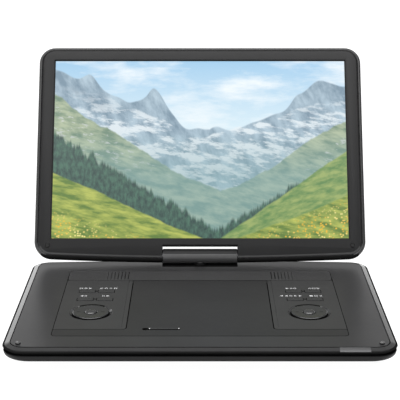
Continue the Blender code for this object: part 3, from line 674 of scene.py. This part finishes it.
bead = rod((1, 0, 0), (-LID_HALF_W, LID_PIVOT_Y, LID_PIVOT_Z), BEAD_R, 2 * LID_HALF_W)
pins = rod((1, 0, 0), (-PIN_X, LID_PIVOT_Y, LID_PIVOT_Z), PIN_R, 2 * PIN_X)
clamp_ring = turned([(10.5, -3.3), (13.0, -3.3), (13.0, -1.5), (10.5, -1.5)], 0, DISC_Y, close=True)
lid = piece(
    "disc_lid_skin",
    prism(lid_plan(), -COVER_T, 0),
    LID,
    add(bead, pins, clamp_ring)
    + cut(
        block(-53.5, -15.0, -73.4, -64.6, -3, -1.0),
        rounded(16.75, 2.0, 1.95, -3, ABOVE, (-34.25, SLIDE_Y)),
        turned([(2.6, -3), (2.6, ABOVE)], -48.6, SLIDE_Y, 32),
    ),
    "disc_lid",
    bevel=0.2,
)
painted(lid, SHADE, lambda centre, normal: abs(normal.z) < SIDE_WALL and centre.z > -COVER_T)
slider = piece(
    "lid_release_skin",
    rounded(13.7, 1.3, 1.25, -1.8, SLIDER_TOP, (-31.5, -68.7)),
    KEY,
    add(
        block(-46.4, -17.0, -72.6, -65.4, -2.1, -1.35),
        block(-46.4, -44.4, -71.0, -67.5, -4.4, -1.6),
        *(turned([(0.6, 0.2), (0.6, 0.55), (0.4, 0.75)], x, -68.8, 16) for x in (-44.6, -18.6)),
    ),
    "lid_release_slider",
    bevel=0.1,
)
painted(slider, SHADE, lambda centre, normal: centre.z < SLIDER_TOP - 0.01)
# Painted glints: the two small studs at the slider's ends take the white print.
painted(slider, PRINT_AND_GLINT, lambda centre, normal: centre.z > SLIDER_TOP + 0.05)

# ---------------------------------------------------------------- spindle hub and pickup

CATCH_COUNT, CATCH_Z, CATCH_R, CATCH_REACH, HUB_WALL_R = 3, -5.9, 0.9, 7.9, 7.4
hub = [
    (1.2, -17.4), (1.2, -10.8), (11.0, -10.8), (11.0, -8.8), (14.0, -8.65), (14.3, -8.4), (14.3, -6.8),
    (14.1, -6.6), (12.6, -6.6), (12.4, -6.8), (8.4, -6.8), (8.2, -6.6), (HUB_WALL_R, -6.6),
    (HUB_WALL_R, -5.2), (7.1, -4.7), (6.2, -4.3), (3.4, -4.15), (3.2, -4.5), (0.8, -4.5),
]
catches = []
for number in range(CATCH_COUNT):
    angle = math.radians(90 + 360 / CATCH_COUNT * number)
    outwards = (math.cos(angle), math.sin(angle), 0)
    catches.append(rod(outwards, (0, DISC_Y, CATCH_Z), CATCH_R, CATCH_REACH, 20))
spun = piece("spindle_hub_skin", turned(hub, 0, DISC_Y, 72), KEY, add(*catches), "spindle_hub", bevel=0.1)


def catch_tip(centre, normal):
    """The ends of the three catches that hold a disc, which stand out of the hub's wall."""
    return math.hypot(centre.x, centre.y - DISC_Y) > HUB_WALL_R + 0.05 and centre.z > -6.5


painted(spun, STEEL, catch_tip)

SLED_Y, ROD_X, ROD_Z, ROD_BORE_R = -36.0, 19.0, -14.5, 1.9
carriage = [
    rounded(6, 6, 1.2, -12.6, -10.4, (0, SLED_Y), 5),
    turned([(4.4, -10.9), (4.4, -10.1), (4.1, -9.9), (3.0, -9.9)], 0, SLED_Y, 40),
    block(22, 25, SLED_Y - 2, SLED_Y + 2, -16, -13),
    block(-17, -8, SLED_Y - 5, SLED_Y + 5, -12.5, -11.6),
    block(8, 17, SLED_Y - 5, SLED_Y + 5, -12.5, -11.6),
]
sled_bores = [rod((0, 1, 0), (x, SLED_Y - 8, ROD_Z), ROD_BORE_R, 16, 24) for x in (-ROD_X, ROD_X)]
piece(
    "pickup_sled_skin",
    rounded(23, 7, 1.0, -17, -12, (0, SLED_Y), 4),
    MATT,
    add(*carriage) + cut(*sled_bores, turned([(2.6, -10.8), (2.6, -9)], 0, SLED_Y, 40)),
    "pickup_sled",
    bevel=0.2,
)
lens_dome = [(2.45, -10.9), (2.45, -10.3), (2.1, -9.95), (1.4, -9.65), (0.7, -9.52), (0.2, -9.5)]
piece(
    "pickup_lens_skin",
    turned(lens_dome, 0, SLED_Y, 40),
    moulded("lens_glass", (0.02, 0.03, 0.09), 0.08, grain=0.01, spec=0.9, wear=0.01),
    (),
    (),
    rides=body_of["pickup_sled"],
)

# ---------------------------------------------------------------- hinge and screen

post = [
    (5.6, -14.2), (5.6, -12.9), (5.0, -12.9), (5.0, 0.4), (6.6, 0.5), (6.2, 1.4), (5.6, 3.0), (5.6, 5.0),
]
barrel_end = [(BARREL_R - BARREL_EDGE, 0), (BARREL_R - 0.25, 0.25), (BARREL_R, BARREL_EDGE)]
barrel_profile = barrel_end + [(r, 2 * BARREL_HALF - length) for r, length in barrel_end[::-1]]
barrel = piece(
    "hinge_barrel_skin",
    lying(turned(barrel_profile, steps=72), (1, 0, 0), (-BARREL_HALF, AXIS_Y, AXIS_Z)),
    BARREL,
    add(turned(post, y=AXIS_Y))
    + cut(rod((1, 0, 0), (-BARREL_HALF - 2, AXIS_Y, AXIS_Z), SHAFT_BORE_R, 2 * BARREL_HALF + 4)),
    "hinge_barrel",
)
# Painted shade: the barrel's downward-facing half takes a darker copy of its plastic.
painted(barrel, BARREL_SHADED, lambda centre, normal: normal.z < -0.06)
# Painted shade: the top of the barrel, under the notch's overhang, takes the darker lower plastic.
painted(barrel, LOWER_PLASTIC_AND_SHADE, lambda centre, normal: normal.z > 0.58 and centre.z > 9)


def barrel_shade(centre, normal):
    """The post under the barrel, and the barrel's two ends."""
    post_neck = abs(centre.x) < 8 and centre.z < 2.6
    return post_neck or centre.z < 1.6 or abs(normal.x) > 0.9


painted(barrel, SHADE, barrel_shade)


def screen_ring(inset, z):
    """The screen's outline drawn in by an inset, at a depth."""
    plan = outline(
        SCREEN_HALF_W - inset,
        SCREEN_LOW + inset,
        SCREEN_HIGH - inset,
        SCREEN_CORNER_R - inset,
        front_bow=SCREEN_BOW,
    )
    return [(x, y, z) for x, y in plan]


# (inset, height) around the screen's back cover, from inside its rim over the edge to the flat back
BACK = (
    (6.0, -5.0), (3.4, -3.0), (3.4, 6.0), (3.2, 6.2), (2.6, 6.5), (1.9, 6.45), (1.1, 6.05), (0.45, 5.3),
    (0.1, 4.3), (0.0, 3.2), (0.0, -1.6), (0.15, -3.0), (0.6, -4.3), (1.4, -5.4), (2.6, -6.3), (4.0, -6.8),
    (5.6, -7.0),
)
notch = (-NOTCH_HALF, NOTCH_HALF, -7, NOTCH_TOP, -9, 9)
back = piece(
    "screen_back_skin",
    loft([screen_ring(inset, z) for inset, z in BACK]),
    RIM,
    add(block(-NOTCH_HALF - 2.3, NOTCH_HALF + 2.3, -1.0, NOTCH_TOP + 2.3, -5.6, 4.2))
    + cut(
        block(*notch),
        *(block(side * 41, side * 51.5, -3.0, 1.0, -4.4, 3.4) for side, _ in SIDES),
        *(rod((1, 0, 0), (x, 0, 0), SHAFT_BORE_R, 4) for x in (-42, 38)),
    ),
    "screen_back_cover",
    at=SCREEN,
    bevel=0.2,
)


def notch_top(centre, normal):
    """The wall of the notch that faces the hinge barrel."""
    return abs(centre.x) < NOTCH_HALF and abs(centre.y - NOTCH_TOP) < 0.5 and normal.y < -0.9


# Painted light: the notch's top wall takes a lighter matt plastic than the back cover and the bezel.
painted(back, MATT, notch_top)
painted(
    back,
    SHADE,
    lambda centre, normal: centre.y < 1 and normal.y < 0.5 and not notch_top(centre, normal),
)
EYE = 0.7  # how far the window in the bezel stands off the picture
window = outline(
    PICTURE_HALF_W + EYE, PICTURE_LOW - EYE, PICTURE_HIGH + EYE, 0.5, steps=2, side_steps=1
)
bezel = piece(
    "screen_bezel_skin",
    loft([screen_ring(3.7, 4.6), screen_ring(3.7, 6.0), screen_ring(3.9, 6.2), screen_ring(5.7, 6.6)]),
    BEZEL,
    cut(
        prism(window, 4, 7),
        block(*notch),
        *(turned([(2.3, 4), (2.3, 7)], side * STOP_X, STOP_Y, 24) for side, _ in SIDES),
    ),
    "screen_bezel",
    at=SCREEN,
    bevel=0.15,
)
# Painted highlight: the bezel's chamfer along its lower edge takes the lighter panel plastic.
painted(bezel, PANEL_AND_HIGHLIGHT, lambda centre, normal: normal.z < 0.99 and normal.y < -0.1)
painted(bezel, MATT, notch_top)
bumper = [(2.0, 5.0), (2.0, 6.8), (1.8, 7.2), (1.3, 7.4), (0.6, 7.4)]
for side, word in SIDES:
    stud = turned(bumper, side * STOP_X, STOP_Y, 24)
    piece(f"screen_bumper_{word}_skin", stud, RUBBER, (), f"screen_bumper_{word}", at=SCREEN)

# ---------------------------------------------------------------- the picture on the display


def picture_material():
    """A mountain valley in morning haze, worked out from noise, on a display that dims seen askew."""
    material, tree, shader = new_material("display_picture")
    where = node(tree, "TexCoord").outputs["Object"]
    parts = node(tree, "SeparateXYZ", {"Vector": where})
    u = spread(tree, parts.outputs["X"], -PICTURE_HALF_W * MM, PICTURE_HALF_W * MM, 0, 1)
    v = spread(tree, parts.outputs["Y"], PICTURE_LOW * MM, PICTURE_HIGH * MM, 0, 1)

    def maths(operation, *values):
        return node(tree, "Math", dict(enumerate(values)), operation=operation).outputs[0]

    def at(scale_u, scale_v, shift, warp=0.0):
        x = maths("MULTIPLY_ADD", u, scale_u, shift)
        y = maths("MULTIPLY_ADD", v, scale_v, shift)
        if warp:
            y = maths("MULTIPLY_ADD", u, warp, y)
        return node(tree, "CombineXYZ", {"X": x, "Y": y, "Z": shift}).outputs[0]

    def fractal(vector, detail, rough, ridged=False):
        kind = "RIDGED_MULTIFRACTAL" if ridged else "FBM"
        inputs = {"Vector": vector, "Scale": 1.0, "Detail": detail, "Roughness": rough}
        return node(tree, "TexNoise", inputs, noise_type=kind).outputs["Fac"]

    def valley(
        left, left_fall, right, right_fall, rise, scale, shift, detail=6.0, rough=0.55, ridged=False
    ):
        """A skyline that falls from both sides to the middle, roughened by noise."""
        from_left = maths("MULTIPLY_ADD", u, -left_fall, left)
        from_right = maths("MULTIPLY_ADD", u, right_fall, right - right_fall)
        wander = fractal(at(scale, 0.0, shift), detail, rough, ridged)
        return maths("MULTIPLY_ADD", wander, rise, maths("MAXIMUM", from_left, from_right))

    def under(edge, soft=0.005):
        return spread(tree, maths("SUBTRACT", edge, v), -soft, soft, 0, 1)

    def shaded(dark, light, scale_u, scale_v, shift, low=0.38, high=0.62, warp=0.0, ridged=False):
        value = fractal(at(scale_u, scale_v, shift, warp), 7.0, 0.6, ridged)
        return blended(tree, spread(tree, value, low, high, 0, 1), dark, light)

    def over(scene, colour, mask):
        return blended(tree, mask, scene, colour)

    scene = blended(tree, spread(tree, v, 0.6, 1.0, 0, 1), (0.68, 0.84, 0.92), (0.3, 0.56, 0.8))
    cloud = spread(tree, fractal(at(2.6, 5.0, 4.0), 6.0, 0.6), 0.46, 0.64, 0, 0.9)
    scene = over(scene, (0.9, 0.95, 0.97), cloud)
    peaks = shaded((0.15, 0.25, 0.34), (0.42, 0.56, 0.66), 16, 7, 7.0, warp=9.0)
    scene = over(scene, peaks, under(valley(0.95, 0.75, 0.84, 0.62, 0.24, 9.0, 2.4, 6.0, 0.5, True)))
    snow = spread(tree, fractal(at(11, 20, 12.0, 5.0), 7.0, 0.65), 0.47, 0.56, 0, 0.85)
    snow_zone = maths("MULTIPLY", snow, spread(tree, v, 0.86, 0.66, 0, 1))
    snow_zone = maths("MULTIPLY", snow_zone, under(valley(0.82, 0.7, 0.7, 0.5, 0.2, 7.0, 6.1)))
    scene = over(scene, (0.78, 0.86, 0.9), snow_zone)
    slopes = shaded((0.13, 0.23, 0.15), (0.42, 0.5, 0.33), 13, 22, 9.0, warp=8.0)
    scene = over(scene, slopes, under(valley(0.72, 1.0, 0.56, 0.95, 0.18, 5.0, 5.3)))
    rocks = spread(tree, fractal(at(26, 40, 15.0, 12.0), 6.0, 0.65), 0.56, 0.62, 0, 0.7)
    rock_zone = maths("MULTIPLY", rocks, under(valley(0.7, 1.0, 0.5, 1.4, 0.14, 5.0, 5.3)))
    scene = over(scene, (0.6, 0.64, 0.62), maths("MULTIPLY", rock_zone, spread(tree, v, 0.3, 0.45, 0, 1)))
    haze = spread(tree, v, 0.62, 0.34, 0.0, 0.55)
    scene = over(scene, (0.2, 0.38, 0.4), maths("MULTIPLY", haze, spread(tree, v, 0.66, 0.56, 0, 1)))
    forest = shaded((0.008, 0.045, 0.04), (0.05, 0.15, 0.1), 90, 26, 2.0)
    scene = over(scene, forest, under(valley(0.5, 0.95, 0.38, 0.95, 0.16, 44.0, 8.2, 3.0, 0.7), 0.012))
    clearing = shaded((0.1, 0.24, 0.06), (0.32, 0.42, 0.12), 20, 30, 21.0, warp=-14.0)
    scene = over(scene, clearing, under(valley(-1, 0, 0.46, 1.15, 0.06, 6.0, 3.3)))
    meadow = shaded((0.1, 0.2, 0.02), (0.46, 0.52, 0.09), 12, 30, 3.0, warp=9.0)
    scene = over(scene, meadow, under(valley(0.33, 0.72, 0.2, 0.62, 0.07, 4.0, 13.1)))
    spots = node(tree, "TexVoronoi", {"Vector": at(95, 70, 1.0), "Scale": 1.0})
    petals = spread(tree, spots.outputs["Distance"], 0.2, 0.4, 1, 0)
    corners = maths("MAXIMUM", maths("MULTIPLY_ADD", u, -0.5, 0.13), maths("MULTIPLY_ADD", u, 0.62, -0.43))
    flowers = maths("MULTIPLY", petals, under(corners, 0.05))
    patches = spread(tree, fractal(at(8, 8, 30.0), 3.0, 0.5), 0.45, 0.6, 0, 1)
    yellow = blended(tree, patches, (0.85, 0.5, 0.02), (0.95, 0.85, 0.3))
    scene = over(scene, yellow, flowers)
    shader.inputs["Base Color"].default_value = (0.01, 0.01, 0.01, 1)
    tree.links.new(scene, shader.inputs["Emission Color"])
    facing = node(tree, "LayerWeight", {"Blend": 0.5}).outputs["Facing"]
    tree.links.new(spread(tree, facing, 0.08, 0.3, 0.95, 0.1), shader.inputs["Emission Strength"])
    film = noise(tree, where, 900.0, 2.0)
    tree.links.new(spread(tree, film, 0.3, 0.7, 0.28, 0.34), shader.inputs["Roughness"])
    return material


GLASS_HALF_W, UNLIT = 154.5, 0.4
LIT_HALF_W = PICTURE_HALF_W - UNLIT
piece(
    "display_frame_skin",
    block(-GLASS_HALF_W, GLASS_HALF_W, 14.6, 209.8, 0.9, 4.25),
    DEEP,
    (),
    "lcd_panel",
    at=SCREEN,
    bevel=0.2,
)
piece(
    "display_picture_skin",
    block(-LIT_HALF_W, LIT_HALF_W, PICTURE_LOW + UNLIT, PICTURE_HIGH - UNLIT, 3.9, 4.3),
    picture_material(),
    (),
    (),
    rides="screen",
    at=SCREEN,
)

# ---------------------------------------------------------------- looks of the pieces kept from the frame

KEPT = {
    "drive_frame": DEEP, "spindle_motor": BARREL, "guide_rod_left": STEEL, "guide_rod_right": STEEL,
    "lead_screw": STEEL, "main_board": GREEN, "battery_pack": FOIL, "left_speaker": DEEP,
    "right_speaker": DEEP, "left_key_board": GREEN, "right_key_board": GREEN, "display_board": GREEN,
    "tilt_shaft": STEEL, "swivel_bearing": STEEL,
    "hinge_bracket_left": STEEL, "hinge_bracket_right": STEEL,
    "usb_port": STEEL, "card_slot": STEEL, "headphone_jack": DEEP, "av_jack": DEEP, "dc_jack": DEEP,
    "power_switch": KEY, "volume_wheel": RUBBER, "left_pad_carrier": DEEP, "right_pad_carrier": DEEP,
    "disc_deck": PANEL_AND_HIGHLIGHT,
}
for name, look in KEPT.items():
    kept = frame["nodes"][name]
    kept.data.materials.clear()
    kept.data.materials.append(look)

# ---------------------------------------------------------------- floor, light and camera


FLOOR_SIZE, FLOOR_GREY, FLOOR_GLOW = 6.0, 0.3, 0.96


def floor_material():
    """A pale panel that glows evenly, so that it stays white right up to the object."""
    material, tree, shader = new_material("floor_panel")
    shader.inputs["Emission Color"].default_value = (1, 1, 1, 1)
    shader.inputs["Emission Strength"].default_value = FLOOR_GLOW
    where = node(tree, "TexCoord").outputs["Object"]
    shade = noise(tree, where, 3.0, 3.0)
    mottled = blended(tree, shade, (FLOOR_GREY,) * 3, (FLOOR_GREY * 0.985,) * 3)
    tree.links.new(mottled, shader.inputs["Base Color"])
    shader.inputs["Roughness"].default_value = 0.8
    shader.inputs["Specular IOR Level"].default_value = 0.2
    return material


floor_mesh = bpy.data.meshes.new("floor")
sheet = bmesh.new()
bmesh.ops.create_grid(sheet, x_segments=1, y_segments=1, size=FLOOR_SIZE)
sheet.to_mesh(floor_mesh)
sheet.free()
floor = bpy.data.objects.new("floor", floor_mesh)
bpy.context.scene.collection.objects.link(floor)
floor_mesh.materials.append(floor_material())

world = bpy.data.worlds.new("studio")
bpy.context.scene.world = world
world.use_nodes = True
sky_tree = world.node_tree
sky_height = node(sky_tree, "SeparateXYZ", {"Vector": node(sky_tree, "TexCoord").outputs["Generated"]})
# Bright near the horizon and dim above, and leaning, so that the two sides of the base differ.
SKY_LEAN, SKY_LOW, SKY_HIGH, SKY_BRIGHT, SKY_DIM = 0.15, 0.15, 0.348, 2.0, 0.22
leaning_inputs = {0: sky_height.outputs["X"], 1: SKY_LEAN, 2: sky_height.outputs["Z"]}
leaning = node(sky_tree, "Math", leaning_inputs, operation="MULTIPLY_ADD")
glow = spread(sky_tree, leaning.outputs[0], SKY_LOW, SKY_HIGH, SKY_BRIGHT, SKY_DIM)
sky_tree.nodes["Background"].inputs["Color"].default_value = (1, 1, 1, 1)
sky_tree.links.new(glow, sky_tree.nodes["Background"].inputs["Strength"])


def soft_box(name, at, aim, width, height, watts):
    """A rectangular area light at a place, in metres, aimed at a point."""
    light = bpy.data.lights.new(name, "AREA")
    light.shape = "RECTANGLE"
    light.size, light.size_y = width, height
    light.energy = watts
    lamp = bpy.data.objects.new(name, light)
    bpy.context.scene.collection.objects.link(lamp)
    lamp.location = at
    lamp.rotation_euler = (Vector(aim) - Vector(at)).to_track_quat("-Z", "Y").to_euler()


soft_box("top_light", (0, -0.7, 2.6), (0, 0, 0), 4.0, 3.0, 130)

lens = bpy.data.cameras.new("camera")
lens.lens = LENS_MM
lens.sensor_width = SENSOR_MM
view = bpy.data.objects.new("camera", lens)
bpy.context.scene.collection.objects.link(view)
view.location = axis_point + Vector(CAMERA_FROM_AXIS)
view.rotation_euler = (math.radians(CAMERA_TILT), 0, 0)
bpy.context.scene.camera = view
bpy.context.scene.view_settings.view_transform = "Standard"
bpy.context.scene.view_settings.look = "None"
